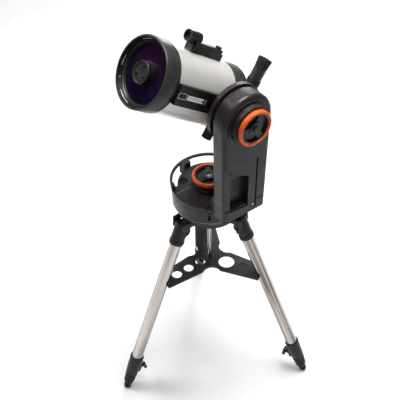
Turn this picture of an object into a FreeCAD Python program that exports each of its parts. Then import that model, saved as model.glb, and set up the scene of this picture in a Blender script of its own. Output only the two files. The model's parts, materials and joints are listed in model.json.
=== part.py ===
# Schmidt-Cassegrain telescope on a single-arm motorised mount and a steel tripod.
# Millimetres. Origin on the floor under the azimuth axis, +Z up, the fork arm on +X,
# the optical tube pointing to -Y and raised by the angle "aim".
import FreeCAD, Part
import Sketcher
import math
import os
import re

os.makedirs("parts", exist_ok=True)

V = FreeCAD.Vector
Rot = FreeCAD.Rotation
Place = FreeCAD.Placement

X_AXIS = V(1, 0, 0)
Y_AXIS = V(0, 1, 0)
Z_AXIS = V(0, 0, 1)

# ---------------------------------------------------------------- driving dimensions
SIZES = {
    # optical tube, measured along its own axis from the altitude axis (front is positive)
    "aim": 35.0,
    "altitude_height": 1094.0,
    "cell_radius": 91.0,
    "cell_front": 245.0,
    "cell_rear": 197.0,
    "tube_radius": 87.8,
    "tube_wall": 1.2,
    "tube_rear": -8.0,
    "aperture_radius": 75.0,
    "corrector_rear": 219.0,
    "corrector_thick": 5.0,
    "secondary_radius": 29.0,
    "casting_rear": -104.0,
    "back_radius": 55.0,
    "primary_radius": 80.0,
    "primary_front": -28.0,
    "primary_thick": 18.0,
    "baffle_radius": 17.5,
    "visual_radius": 25.0,
    "barrel_radius": 15.875,
    # dovetail and saddle
    "bar_half": 26.0,
    "bar_face": 97.0,
    "saddle_face": 103.0,
    "hub_radius": 82.0,
    "hub_face": 115.4,
    # fork arm, outward along +X
    "arm_inner": 116.0,
    "arm_split": 138.0,
    "arm_outer": 168.0,
    "arm_radius": 78.0,
    "arm_half": 73.0,
    "arm_wall": 4.0,
    "arm_round": 11.0,
    "collar_radius": 57.0,
    "collar_face": 186.0,
    "shaft_radius": 12.0,
    "ring_radius": 50.5,
    "ring_inner": 42.0,
    "ring_thick": 13.0,
    # rotating base
    "drum_radius": 113.0,
    "drum_bottom": 710.0,
    "deck_height": 770.0,
    "deck_thick": 4.0,
    "handle_height": 791.0,
    "handle_thick": 7.0,
    "notch_radius": 94.0,
    "spindle_radius": 18.0,
    "wheel_radius": 58.0,
    "wheel_thick": 9.0,
    "knob_height": 806.0,
    # tripod
    "head_top": 688.0,
    "head_radius": 96.0,
    "head_thick": 14.0,
    "leg_lean": 22.0,
    "foot_circle": 366.0,
    "leg_radius": 19.05,
    "leg_wall": 1.5,
    "leg_bottom": 112.0,
    "leg_top": 703.0,
    "pin_station": 695.0,
    "inner_radius": 17.45,
    "rod_radius": 6.35,
    "tray_top": 446.0,
    "tray_thick": 6.0,
    "tray_half": 31.0,
    "tray_root": 46.0,
    "tray_reach": 182.0,
    "small_hole": 16.4,
    "large_hole": 26.0,
    "running_gap": 0.05,
}

doc = FreeCAD.newDocument("telescope")
sheet = doc.addObject("Spreadsheet::Sheet", "Sizes")
for row, (alias, value) in enumerate(SIZES.items(), start=1):
    sheet.set("A%d" % row, alias)
    sheet.set("B%d" % row, "%g" % value)
    sheet.setAlias("B%d" % row, alias)
doc.recompute()

ALIAS = re.compile(r"\b(" + "|".join(sorted(SIZES, key=len, reverse=True)) + r")\b")
nodes = []


def bound(expression):
    """The expression with every alias pointed at the sheet."""
    return ALIAS.sub(r"Sizes.\1", str(expression))


def size(expression):
    """The present value of an expression, in millimetres or degrees."""
    result = sheet.evalExpression(bound(expression))
    return float(getattr(result, "Value", result))


def bind(thing, prop, expression):
    thing.setExpression(prop, bound(expression))


def keep(thing, label, place=None):
    """Marks an object as a sub-part, with its own label and placement."""
    thing.Label = label
    if place is not None:
        thing.Placement = place
    nodes.append(thing)
    return thing


# ---------------------------------------------------------------- placements
def turned_to_x():
    """Local +Z becomes +X."""
    return Rot(Y_AXIS, 90)


AIM = SIZES["aim"]
AXIS_HEIGHT = SIZES["altitude_height"]
TUBE = Place(V(0, 0, AXIS_HEIGHT), Rot(X_AXIS, 90 - AIM))
ALTITUDE = Place(V(0, 0, AXIS_HEIGHT), turned_to_x())
LEG_ANGLES = {"a": 150, "b": 270, "c": 30}


def leg_place(angle):
    """Local origin at the foot, local +Z up the leg, local +X outward."""
    lean = SIZES["leg_lean"]
    spin = Rot(Z_AXIS, angle)
    out = spin.multVec(V(SIZES["foot_circle"], 0, 0))
    return Place(out, spin.multiply(Rot(Y_AXIS, -lean)))


def move(x=0, y=0, z=0, axis=None, angle=0):
    rotation = Rot(axis, angle) if axis is not None else Rot()
    return Place(V(x, y, z), rotation)


# ---------------------------------------------------------------- PartDesign helpers
def plane_of(body, role):
    return [item for item in body.Origin.OriginFeatures if item.Role == role][0]


def draw(body, role, points, offset="0"):
    """A closed sketch through points given as pairs of expressions, each one bound."""
    sketch = body.newObject("Sketcher::SketchObject", "Sketch")
    sketch.AttachmentSupport = [(plane_of(body, role), "")]
    sketch.MapMode = "FlatFace"
    bind(sketch, "AttachmentOffset.Base.z", offset)
    corners = [V(size(a), size(b), 0) for a, b in points]
    count = len(corners)
    for index in range(count):
        sketch.addGeometry(Part.LineSegment(corners[index], corners[(index + 1) % count]), False)
    for index in range(count):
        sketch.addConstraint(Sketcher.Constraint("Coincident", index, 2, (index + 1) % count, 1))
        for kind, expression in (("DistanceX", points[index][0]), ("DistanceY", points[index][1])):
            number = sketch.addConstraint(Sketcher.Constraint(kind, -1, 1, index, 1, size(expression)))
            bind(sketch, "Constraints[%d]" % number, expression)
    return sketch


def turned(label, points, place=None, part_of=None):
    """A turned solid: the outline is (radius, height) pairs about local Z."""
    body = doc.addObject("PartDesign::Body", label)
    sketch = draw(body, "XZ_Plane", points)
    feature = body.newObject("PartDesign::Revolution", "Revolution")
    feature.Profile = sketch
    feature.ReferenceAxis = (sketch, ["V_Axis"])
    feature.Angle = 360
    body.Tip = feature
    if part_of is not None:
        return body
    return keep(body, label, place)


def padded(points, low, length, place=None, role="XY_Plane"):
    """A straight solid: an outline on an origin plane, from low, by length."""
    body = doc.addObject("PartDesign::Body", "Padded")
    sketch = draw(body, role, points, low)
    feature = body.newObject("PartDesign::Pad", "Pad")
    feature.Profile = sketch
    bind(feature, "Length", length)
    body.Tip = feature
    if place is not None:
        body.Placement = place
    return body


# ---------------------------------------------------------------- Part helpers
def cylinder(radius, height, place=None):
    solid = doc.addObject("Part::Cylinder", "Cylinder")
    bind(solid, "Radius", radius)
    bind(solid, "Height", height)
    if place is not None:
        solid.Placement = place
    return solid


def cone(low_radius, high_radius, height, place=None):
    solid = doc.addObject("Part::Cone", "Cone")
    bind(solid, "Radius1", low_radius)
    bind(solid, "Radius2", high_radius)
    bind(solid, "Height", height)
    if place is not None:
        solid.Placement = place
    return solid


def block(length, width, height, place=None):
    """A box centred on its own local X and Y, standing on Z = 0."""
    solid = doc.addObject("Part::Box", "Box")
    bind(solid, "Length", length)
    bind(solid, "Width", width)
    bind(solid, "Height", height)
    centre = Place(V(-size(length) / 2, -size(width) / 2, 0), Rot())
    solid.Placement = (place or Place()).multiply(centre)
    return solid


def fuse(*solids):
    union = doc.addObject("Part::MultiFuse", "Union")
    union.Shapes = list(solids)
    return union


def cut(base, *tools):
    result = doc.addObject("Part::Cut", "Cut")
    result.Base = base
    result.Tool = tools[0] if len(tools) == 1 else fuse(*tools)
    return result


def ring(outer, inner, height, place=None):
    at = place or Place()
    bore = cylinder(inner, "%s + 2" % height, at.multiply(move(z=-1)))
    return cut(cylinder(outer, height, at), bore)


def spokes(count, reach, width, height, place, phase=0):
    """Flat bars from the axis outward, spread evenly."""
    bars = []
    for index in range(count):
        spin = Place(V(), Rot(Z_AXIS, phase + 360.0 * index / count))
        shift = move(x=size(reach) / 2)
        bars.append(block(reach, width, height, place.multiply(spin).multiply(shift)))
    return bars


# ---------------------------------------------------------------- tripod
def build_head():
    plate = cylinder("head_radius", "head_thick", move(z=size("head_top - head_thick")))
    hub = cylinder(24, 26, move(z=size("head_top - head_thick - 25")))
    parts = [plate, hub]
    for angle in LEG_ANGLES.values():
        spin = Place(V(), Rot(Z_AXIS, angle))
        for side in (-1, 1):
            web = block(24, EAR_THICK, 34, spin.multiply(move(x=104, y=side * EAR_OFFSET, z=643)))
            eye_low = side * EAR_OFFSET + EAR_THICK / 2
            eye = leg_place(angle).multiply(move(y=eye_low, z=SIZES["pin_station"], axis=X_AXIS, angle=90))
            rib = block(70, EAR_THICK, 16, spin.multiply(move(x=58, y=side * EAR_OFFSET, z=660)))
            parts += [web, cylinder(12, EAR_THICK, eye), rib]
    holes = [cylinder("rod_radius", 80, move(z=620))]
    for angle in BOLT_ANGLES:
        spot = Place(V(), Rot(Z_AXIS, angle)).multiply(move(x=BOLT_CIRCLE, z=640))
        holes.append(cylinder(BOLT_RADIUS, 80, spot))
    for angle in LEG_ANGLES.values():
        pin = leg_place(angle).multiply(PIN_SPOT)
        holes.append(cylinder(PIN_RADIUS, 90, pin))
    keep(cut(fuse(*parts), *holes), "tripod_head")


EAR_THICK = 7
EAR_OFFSET = 25.8
BOLT_CIRCLE = 52
BOLT_RADIUS = 5
BOLT_ANGLES = (90, 210, 330)
PIN_RADIUS = 4
PIN_SPOT = move(y=45, z=SIZES["pin_station"], axis=X_AXIS, angle=90)


def build_head_bolts():
    bolts = []
    for angle in BOLT_ANGLES:
        spot = Place(V(), Rot(Z_AXIS, angle))
        bolts.append(cylinder(13, 14, spot.multiply(move(x=BOLT_CIRCLE, z=650))))
        bolts.append(cylinder(8, 10, spot.multiply(move(x=BOLT_CIRCLE, z=664))))
        bolts.append(cylinder(BOLT_RADIUS, 26, spot.multiply(move(x=BOLT_CIRCLE, z=673))))
    keep(fuse(*bolts), "head_bolts")


def build_leg(key, angle):
    place = leg_place(angle)
    build_foot(key, place, angle)
    turned("leg_inner_" + key, [
        ("inner_radius - 1.2", 38), ("inner_radius", 38),
        ("inner_radius", 600), ("inner_radius - 1.2", 600)], place)
    build_clamp(key, place)
    turned("leg_tube_" + key, [
        ("leg_radius - leg_wall", "leg_bottom"), ("leg_radius", "leg_bottom"),
        ("leg_radius", "leg_top"), ("leg_radius - leg_wall", "leg_top")], place)
    build_socket(key, place)


def build_foot(key, place, angle):
    """Rubber foot: a stem inside the inner leg, a taper and a ball cut flat by the floor."""
    lean = math.radians(SIZES["leg_lean"])
    ball_radius = 12.0
    centre = 10.5 / math.cos(lean)
    ball = doc.addObject("Part::Sphere", "Ball")
    ball.Radius = ball_radius
    ball.Placement = move(z=centre)
    taper = cone(9.5, 19.4, 53, move(z=15))
    collar = cylinder(20.4, 4, move(z=67))
    stem = cylinder("inner_radius - 1.2", 30, move(z=66))
    body = fuse(ball, taper, collar, stem)
    floor_tilt = Place(V(), Rot(Y_AXIS, SIZES["leg_lean"]))
    floor = block(90, 90, 40, floor_tilt.multiply(move(z=-40)))
    keep(cut(body, floor), "leg_foot_" + key, place)


def build_clamp(key, place):
    shell = cylinder(22.4, 44, move(z=108))
    rim = cylinder(23.6, 6, move(z=146))
    lower = cone(20.6, 22.4, 36, move(z=72))
    boss = cylinder(9, 20, move(x=-15, z=96, axis=Y_AXIS, angle=-90))
    lug = block(14, 24, 36, move(x=-20, z=78))
    solid = fuse(shell, rim, lower, boss, lug)
    bore = cylinder("inner_radius + running_gap", 100, move(z=60))
    seat = cylinder("leg_radius", 60, move(z=size("leg_bottom")))
    screw = cylinder(3, 40, move(x=-5, z=96, axis=Y_AXIS, angle=-90))
    keep(cut(solid, bore, seat, screw), "leg_clamp_" + key, place)
    stem = cylinder("3 - running_gap", 24, move(x=-18, z=96, axis=Y_AXIS, angle=-90))
    hub = cylinder(7.5, 12, move(x=-36, z=96, axis=Y_AXIS, angle=-90))
    wing = block(9, 34, 8, move(x=-43.5, z=92))
    keep(fuse(stem, hub, wing), "leg_knob_" + key, place)


def build_socket(key, place):
    """Black casting at the top of a leg, pinned between two ears of the head."""
    sleeve = cylinder(21.8, 74, move(z=size("leg_top - 62")))
    rim = cylinder(23.4, 12, move(z=size("leg_top - 63")))
    web = block(10, 16, 24, move(x=-21, z=size("leg_top - 46")))
    bore = cylinder("leg_radius", 80, move(z=size("leg_top - 80")))
    pin = cylinder(PIN_RADIUS, 90, PIN_SPOT)
    keep(cut(fuse(sleeve, rim, web), bore, pin), "leg_socket_" + key, place)


def build_rod_and_tray():
    rod_low = "tray_top - 22"
    turned("centre_rod", [
        (0, rod_low), ("rod_radius", rod_low),
        ("rod_radius", "head_top"), (0, "head_top")])
    arms = []
    holes = [cylinder("rod_radius + running_gap", 40, move(z=size("tray_top - 30")))]
    low = size("tray_top - tray_thick")
    for key, angle in LEG_ANGLES.items():
        spin = Place(V(), Rot(Z_AXIS, angle))
        arms.append(padded([
            ("0", "-tray_root"), ("tray_reach", "-tray_half"), ("tray_reach", "tray_half"),
            ("0", "tray_root")], "tray_top - tray_thick", "tray_thick", spin))
        notch = leg_place(angle).multiply(move(z=300))
        holes.append(cylinder("leg_radius + 0.5", 300, notch))
        bite = Place(V(), Rot(Z_AXIS, angle + 60)).multiply(move(x=76, z=low - 10))
        holes.append(cylinder(30, 40, bite))
        for distance in TRAY_HOLES[key][1:]:
            radius = TRAY_HOLES[key][0]
            holes.append(cylinder(radius, 40, spin.multiply(move(x=distance, z=low - 10))))
    blind = Place(V(), Rot(Z_AXIS, LEG_ANGLES["c"])).multiply(move(x=118, z=size("tray_top") - 2))
    keep(cut(fuse(*arms), *holes, cylinder(15, 10, blind)), "spreader_tray")
    low = size("tray_top - tray_thick - 17.3")
    lobes = [cylinder(7, 17, move(x=13.5 * math.cos(math.radians(a)), y=13.5 * math.sin(math.radians(a)), z=low))
             for a in range(0, 360, 72)]
    hub = cylinder(16, 17, move(z=low))
    bore = cylinder("rod_radius + running_gap", 60, move(z=low - 10))
    keep(cut(fuse(hub, *lobes), bore), "tray_knob")


TRAY_HOLES = {
    "a": ("large_hole",),
    "b": ("small_hole", 38, 84, 130),
    "c": ("large_hole", 60),
}


# ---------------------------------------------------------------- base
def build_base():
    plate = turned("BasePlateTurned", [
        ("spindle_radius", "head_top"), (98, "head_top"), (108, "drum_bottom - 7"),
        (109, "drum_bottom - 0.6"), ("spindle_radius", "drum_bottom - 0.6")], part_of="base_plate")
    holes = []
    for angle in BOLT_ANGLES:
        spot = Place(V(), Rot(Z_AXIS, angle)).multiply(move(x=BOLT_CIRCLE, z=size("head_top - 1")))
        holes.append(cylinder(BOLT_RADIUS, 14, spot))
    keep(cut(plate, *holes), "base_plate")
    turned("azimuth_spindle", [
        (0, "head_top + 1"), ("spindle_radius", "head_top + 1"),
        ("spindle_radius", "deck_height + 8"), (9, "deck_height + 8"),
        (9, "knob_height - 6"), (0, "knob_height - 6")])
    turned("azimuth_wheel", [
        ("spindle_radius", "drum_bottom + 12"), ("wheel_radius", "drum_bottom + 12"),
        ("wheel_radius - 1.5", "drum_bottom + 12 + wheel_thick / 2"),
        ("wheel_radius", "drum_bottom + 12 + wheel_thick"), ("spindle_radius", "drum_bottom + 12 + wheel_thick")])
    build_drum()
    build_handle()
    middle = size("drum_bottom + 12 + wheel_thick / 2")
    worm_at = move(x=-(SIZES["wheel_radius"] + 6.7), y=-22, z=middle, axis=X_AXIS, angle=-90)
    build_worm("azimuth_worm", worm_at)
    build_clutch("azimuth", move(z=size("knob_height - ring_thick")))


def build_drum():
    bottom = size("drum_bottom")
    outer = cone("drum_radius - 2", "drum_radius", "deck_height - drum_bottom", move(z=bottom))
    lip = ring("drum_radius", "drum_radius - 5", 3, move(z=size("deck_height") - 1))
    outer = notched(fuse(outer, lip), "notch_radius", HANDLE_WINDOWS)
    hollow = cylinder("drum_radius - 8", "deck_height - drum_bottom - deck_thick + 10", move(z=bottom - 10))
    wider = (HANDLE_WINDOWS[0] - 4, HANDLE_WINDOWS[1] + 4)
    hollow = notched(hollow, "notch_radius - 5", wider)
    collar = cylinder(54, 12, move(z=size("deck_height") - 1))
    arm_pad = block(26, 122, 3, move(x=98, z=size("deck_height") - 1))
    neck = cylinder(30, 60, move(z=size("deck_height") - 48))
    wheel_room = cylinder("wheel_radius + 1", "wheel_thick + 3", move(z=bottom + 10.5))
    bearing = cylinder("spindle_radius + running_gap", 200, move(z=bottom - 60))
    recess = cylinder(13.7, 12, move(x=-52.8, y=-56, z=size("deck_height") - 3))
    body = fuse(cut(outer, hollow), arm_pad, collar, cut(neck, wheel_room))
    side = Place(V(), Rot(Z_AXIS, PORT_ANGLE))
    port = block(16, 8, 34, side.multiply(move(x=size("drum_radius"), z=bottom + 13)))
    rim_cut = block(20, 20, 12, side.multiply(move(x=size("drum_radius"), z=size("deck_height") - 3)))
    keep(cut(body, bearing, recess, port, rim_cut), "base_drum")


def notched(solid, radius, angles):
    """Takes away what lies outside a radius between two angles about the azimuth axis."""
    band = doc.addObject("Part::Common", "Notch")
    band.Base = ring(200, radius, 120, move(z=size("drum_bottom") - 20))
    band.Tool = sector(angles, size("drum_bottom") - 20, 120)
    return cut(solid, band)


def build_handle():
    """Carry handle: an arc behind and to the left of the deck, on three posts."""
    top = size("handle_height")
    rail = ring("drum_radius + 3", "drum_radius - 5", "handle_thick", move(z=size("handle_height - handle_thick")))
    arc = doc.addObject("Part::Common", "Arc")
    arc.Base = rail
    arc.Tool = sector((HANDLE_POSTS[0][0], HANDLE_POSTS[-1][1]), top - 40, 60)
    posts = []
    for start, end in HANDLE_POSTS:
        inside = start > HANDLE_WINDOWS[0] and end < HANDLE_WINDOWS[1]
        low = size("deck_height - 20") if inside else size("deck_height + 2.2")
        inner = "notch_radius + 0.2" if inside else "drum_radius - 9"
        post = doc.addObject("Part::Common", "Post")
        post.Base = ring("drum_radius + 2", inner, top - low - 1, move(z=low))
        post.Tool = sector((start, end), low - 5, 100)
        posts.append(post)
    keep(fuse(arc, *posts), "carry_handle")


PORT_ANGLE = -36
HANDLE_WINDOWS = (104, 241)
HANDLE_POSTS = ((88, 101), (180, 195), (243, 252))


def sector(angles, low, height):
    """A wedge from the azimuth axis between two angles."""
    solid = doc.addObject("Part::Cylinder", "Sector")
    solid.Radius = 220
    solid.Height = height
    solid.Angle = angles[1] - angles[0]
    solid.Placement = Place(V(0, 0, low), Rot(Z_AXIS, angles[0]))
    return solid


def build_worm(label, place):
    """Worm with simplified ring-shaped threads, turning about local Z."""
    shaft = cylinder(3, 44, place)
    core = cylinder(5, 22, place.multiply(move(z=11)))
    threads = [cylinder(6.2, 1.6, place.multiply(move(z=13 + 3.4 * turn))) for turn in range(6)]
    keep(fuse(shaft, core, *threads), label)


def build_clutch(name, place):
    """Clutch knob: a dark three-lobed centre and the bright grip ring around it."""
    height = size("ring_thick")
    hub = cylinder(18, height - 2, place)
    rim = ring("ring_inner", "ring_inner - 4", height - 3, place)
    bars = spokes(3, "ring_inner - 2", 17, height - 5, place, 30)
    web = cylinder("ring_inner - 1", 3, place)
    bore = cylinder("9 + running_gap", 60, place.multiply(move(z=-10)))
    keep(cut(fuse(hub, rim, web, *bars), bore), name + "_knob")
    outline = [
        ("ring_inner", 0), ("ring_radius - 1.5", 0), ("ring_radius", 2), ("ring_radius", "ring_thick - 3"),
        ("ring_radius - 2.5", "ring_thick"), ("ring_inner + 1.5", "ring_thick"), ("ring_inner", "ring_thick - 2")]
    turned(name + "_ring", outline, place)


# ---------------------------------------------------------------- fork arm
ARM_BOTTOM = "deck_height + 4"


def arm_slice(label, low, high, shrink="0", rounded_at=None):
    """The arm's side view, pushed from low to high along +X."""
    body = doc.addObject("PartDesign::Body", label)
    sketch = body.newObject("Sketcher::SketchObject", "Sketch")
    sketch.AttachmentSupport = [(plane_of(body, "YZ_Plane"), "")]
    sketch.MapMode = "FlatFace"
    bind(sketch, "AttachmentOffset.Base.z", low)
    centre = size("altitude_height")
    radius = size("arm_radius - (%s)" % shrink)
    half = size("arm_half - (%s)" % shrink)
    bottom = size(ARM_BOTTOM + " + (%s)" % shrink)
    drop = centre - bottom
    start = math.acos(radius / math.hypot(half, drop)) - math.atan2(drop, half)
    touch = V(radius * math.cos(start), centre + radius * math.sin(start), 0)
    mirrored = V(-touch.x, touch.y, 0)
    head = Part.Circle(V(0, centre, 0), Z_AXIS, radius)
    sketch.addGeometry(Part.ArcOfCircle(head, start, math.pi - start), False)
    sketch.addGeometry(Part.LineSegment(mirrored, V(-half, bottom, 0)), False)
    sketch.addGeometry(Part.LineSegment(V(-half, bottom, 0), V(half, bottom, 0)), False)
    sketch.addGeometry(Part.LineSegment(V(half, bottom, 0), touch), False)
    sketch.addConstraint(Sketcher.Constraint("Tangent", 0, 2, 1, 1))
    sketch.addConstraint(Sketcher.Constraint("Tangent", 3, 2, 0, 1))
    sketch.addConstraint(Sketcher.Constraint("Coincident", 1, 2, 2, 1))
    sketch.addConstraint(Sketcher.Constraint("Coincident", 2, 2, 3, 1))
    sketch.addConstraint(Sketcher.Constraint("PointOnObject", 0, 3, -2))
    sketch.addConstraint(Sketcher.Constraint("Horizontal", 2))
    rules = (
        (Sketcher.Constraint("DistanceY", -1, 1, 0, 3, centre), "altitude_height"),
        (Sketcher.Constraint("Radius", 0, radius), "arm_radius - (%s)" % shrink),
        (Sketcher.Constraint("DistanceX", -1, 1, 2, 2, half), "arm_half - (%s)" % shrink),
        (Sketcher.Constraint("DistanceX", 2, 1, -1, 1, half), "arm_half - (%s)" % shrink),
        (Sketcher.Constraint("DistanceY", -1, 1, 2, 1, bottom), ARM_BOTTOM + " + (%s)" % shrink))
    for constraint, expression in rules:
        number = sketch.addConstraint(constraint)
        bind(sketch, "Constraints[%d]" % number, expression)
    pad = body.newObject("PartDesign::Pad", "Pad")
    pad.Profile = sketch
    bind(pad, "Length", "(%s) - (%s)" % (high, low))
    body.Tip = pad
    if rounded_at is not None:
        doc.recompute()
        fillet = body.newObject("PartDesign::Fillet", "Fillet")
        fillet.Base = (pad, rim_edges(pad.Shape, size(rounded_at)))
        bind(fillet, "Radius", "arm_round - (%s)" % shrink)
        body.Tip = fillet
    return body


def rim_edges(shape, face_x):
    """Names of the edges in the plane X = face_x, apart from the straight bottom one."""
    low = shape.BoundBox.ZMin
    names = []
    for index, edge in enumerate(shape.Edges, start=1):
        in_plane = all(abs(point.X - face_x) < 0.01 for point in edge.Vertexes)
        at_bottom = all(abs(point.Z - low) < 0.01 for point in edge.Vertexes)
        if in_plane and not at_bottom:
            names.append("Edge%d" % index)
    return names


CRADLE = (("-52", "808"), ("9.5", "802"), ("9.5", "914"), ("-52", "946"))
CRADLE_WALL = (("-66", "800"), ("14", "796"), ("14", "920"), ("-66", "962"))
CRADLE_EDGE = (("-80", "816"), ("-51", "812"), ("-51", "954"), ("-80", "976"))


def build_arm():
    about = ALTITUDE
    shell = arm_slice("ArmInnerSlice", "arm_inner", "arm_split", "0", "arm_inner")
    room = arm_slice("ArmInnerRoom", "arm_inner + arm_wall", "arm_split + 1", "arm_wall", "arm_inner + arm_wall")
    foot = block(45, 120, 92, move(x=107.5, z=size("deck_height + 2")))
    slope = block(120, 200, 80, Place(V(85, 0, 800), Rot(Y_AXIS, -58)).multiply(move(x=60)))
    foot_room = block(26, 104, 42, move(x=118, z=size("deck_height + 8")))
    hub_hole = cylinder("30 + running_gap", 60, about.multiply(move(z=100)))
    whole = fuse(shell, cut(foot, slope))
    keep(cut(whole, room, foot_room, hub_hole), "arm_inner")

    shell = arm_slice("ArmOuterSlice", "arm_split", "arm_outer", "0", "arm_outer")
    room = arm_slice("ArmOuterRoom", "arm_split - 1", "arm_outer - arm_wall", "arm_wall", "arm_outer - arm_wall")
    cradle_wall = padded(CRADLE_WALL, "arm_split", "28", role="YZ_Plane")
    cradle = padded(CRADLE, "arm_split + 8", "40", role="YZ_Plane")
    cradle_edge = padded(CRADLE_EDGE, "arm_outer - 3", "20", role="YZ_Plane")
    step = cylinder(66, 6, about.multiply(move(z=165)))
    collar = cylinder("collar_radius", "collar_face - arm_outer + 1", about.multiply(move(z=167)))
    collar_room = cylinder("collar_radius - 5", "collar_face - arm_outer + 4", about.multiply(move(z=160)))
    shaft_boss = cylinder(24, 20, about.multiply(move(z=166)))
    shaft_hole = cylinder("shaft_radius + running_gap", 60, about.multiply(move(z=140)))
    groove = block(8, 5, 178, move(x=168, y=37, z=786))
    seam_core = arm_slice("ArmSeamCore", "arm_split - 1", "arm_outer - 2", "2", "arm_outer - 2")
    seam = cut(block(44, 50, 3, move(x=160.5, y=62, z=810)), seam_core)
    button_hole = cylinder("7 + running_gap", 20, Place(V(155, 27, 800), turned_to_x()))
    outside = fuse(cut(shell, room), step, collar, cradle_wall)
    hollowed = cut(outside, collar_room, cradle, cradle_edge)
    keep(cut(fuse(hollowed, shaft_boss), shaft_hole, groove, seam, button_hole), "arm_outer")

    hub = cylinder("hub_radius", "hub_face - saddle_face", about.multiply(move(z=size("saddle_face"))))
    journal = cylinder(30, 34, about.multiply(move(z=110)))
    shaft = cylinder("shaft_radius", 56.2, about.multiply(move(z=130)))
    stub = cylinder(9, 22, about.multiply(move(z=180)))
    keep(fuse(hub, journal, shaft, stub), "altitude_hub")
    wheel = [
        (30, 129), ("wheel_radius", 129), ("wheel_radius - 1.5", "129 + wheel_thick / 2"),
        ("wheel_radius", "129 + wheel_thick"), (30, "129 + wheel_thick")]
    turned("altitude_wheel", wheel, about)
    worm_x = 129 + SIZES["wheel_thick"] / 2
    worm_z = AXIS_HEIGHT - SIZES["wheel_radius"] - 6.7
    build_worm("altitude_worm", move(x=worm_x, y=-22, z=worm_z, axis=X_AXIS, angle=-90))
    build_clutch("altitude", about.multiply(move(z=size("collar_face + 0.6"))))
    button = Place(V(159, 27, 800), turned_to_x())
    keep(fuse(cylinder(7, 10, button), cylinder(9, 2.5, button)), "power_button")


# ---------------------------------------------------------------- saddle, bar and tube
def build_saddle():
    """Clamp that grips the dovetail bar along its two long edges, in tube directions."""
    floor = block("saddle_face - bar_face - 0.3", 74, 92, move(x=size("(saddle_face + bar_face + 0.3) / 2"), z=-38))
    parts = [floor]
    for side in (-1, 1):
        parts.append(block(14, 10, 92, move(x=96, y=side * 31.4, z=-38)))
    lug = block(16, 24, 34, move(x=91, y=-44, z=9))
    screw = cylinder(3, 60, move(x=89, y=-20, z=26, axis=X_AXIS, angle=90))
    keep(cut(fuse(*parts, lug), screw), "saddle", TUBE)
    stem = cylinder("3 - running_gap", 36, move(x=89, y=-27, z=26, axis=X_AXIS, angle=90))
    lower = cylinder(11, 14, move(x=89, y=-57, z=26, axis=X_AXIS, angle=90))
    grip = cylinder(13.5, 22, move(x=89, y=-71, z=26, axis=X_AXIS, angle=90))
    keep(fuse(stem, lower, grip), "saddle_knob", TUBE)
    bar = block(20, "2 * bar_half", "cell_rear + 26", move(x=size("bar_face - 10"), z=-26))
    seat = cylinder("tube_radius", 400, move(z=-100))
    behind = cylinder("tube_radius + 0.9", 60, move(z=size("tube_rear - 60")))
    keep(cut(bar, seat, behind), "dovetail_bar", TUBE)


def build_tube():
    turned("tube_shell", [
        ("tube_radius - tube_wall", "tube_rear"), ("tube_radius", "tube_rear"),
        ("tube_radius", "cell_rear + 8"), ("tube_radius - tube_wall", "cell_rear + 8")], TUBE)
    turned("front_cell", [
        ("tube_radius", "cell_rear"), ("cell_radius - 1", "cell_rear"), ("cell_radius", "cell_rear + 2"),
        ("cell_radius", "cell_front - 2"), ("cell_radius - 1.5", "cell_front"),
        ("cell_radius - 5", "cell_front"), ("aperture_radius + 3", "corrector_rear + corrector_thick + 4"),
        ("aperture_radius", "corrector_rear + corrector_thick + 2"),
        ("aperture_radius", "corrector_rear + corrector_thick"),
        ("aperture_radius + 3", "corrector_rear + corrector_thick"),
        ("aperture_radius + 3", "corrector_rear"), ("aperture_radius", "corrector_rear"),
        ("aperture_radius", "corrector_rear - 4"), ("tube_radius - tube_wall", "corrector_rear - 6"),
        ("tube_radius - tube_wall", "cell_rear + 8"), ("tube_radius", "cell_rear + 8")], TUBE)
    turned("corrector_plate", [
        ("secondary_radius - 3", "corrector_rear"), ("aperture_radius + 3", "corrector_rear"),
        ("aperture_radius + 3", "corrector_rear + corrector_thick"),
        ("secondary_radius - 3", "corrector_rear + corrector_thick")], TUBE)
    glass = "corrector_rear + corrector_thick"
    turned("secondary_housing", [
        (0, "corrector_rear - 16"), ("secondary_radius - 3", "corrector_rear - 16"),
        ("secondary_radius - 3", glass), ("secondary_radius + 2.5", glass),
        ("secondary_radius + 2.5", glass + " + 3"), ("secondary_radius", glass + " + 3"),
        ("secondary_radius", "cell_front - 1"), ("secondary_radius - 1", "cell_front"),
        ("secondary_radius - 4", "cell_front"), ("secondary_radius - 4", "cell_front - 3"), (0, "cell_front - 3")], TUBE)
    screws = []
    for angle in (90, 210, 330):
        spot = Place(V(), Rot(Z_AXIS, angle)).multiply(move(x=15, z=size("cell_front - 3")))
        screws.append(cylinder(3, 2, spot))
    keep(fuse(*screws), "collimation_screws", TUBE)
    turned("secondary_mirror", [
        (0, "corrector_rear - 22"), (22, "corrector_rear - 22"),
        (22, "corrector_rear - 16"), (0, "corrector_rear - 16")], TUBE)
    turned("rear_cell", [
        ("tube_radius - tube_wall", "tube_rear + 10"), ("tube_radius - 7", "tube_rear + 10"),
        ("tube_radius - 7", "tube_rear - 40"), ("back_radius - 5", "casting_rear + 8"), (25, "casting_rear + 8"),
        (25, "casting_rear - 6"), ("back_radius - 24", "casting_rear - 6"), ("back_radius - 24", "casting_rear"),
        ("back_radius", "casting_rear"), ("tube_radius - 3", "tube_rear - 52"),
        ("tube_radius + 0.6", "tube_rear - 46"), ("tube_radius + 0.6", "tube_rear"),
        ("tube_radius - tube_wall", "tube_rear")], TUBE)
    turned("baffle_tube", [
        ("baffle_radius - 1.5", "casting_rear + 1"), (25, "casting_rear + 1"), (25, "casting_rear + 6"),
        ("baffle_radius", "casting_rear + 6"), ("baffle_radius", 120), ("baffle_radius - 1.5", 120)], TUBE)
    build_primary()
    build_focuser()


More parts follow.
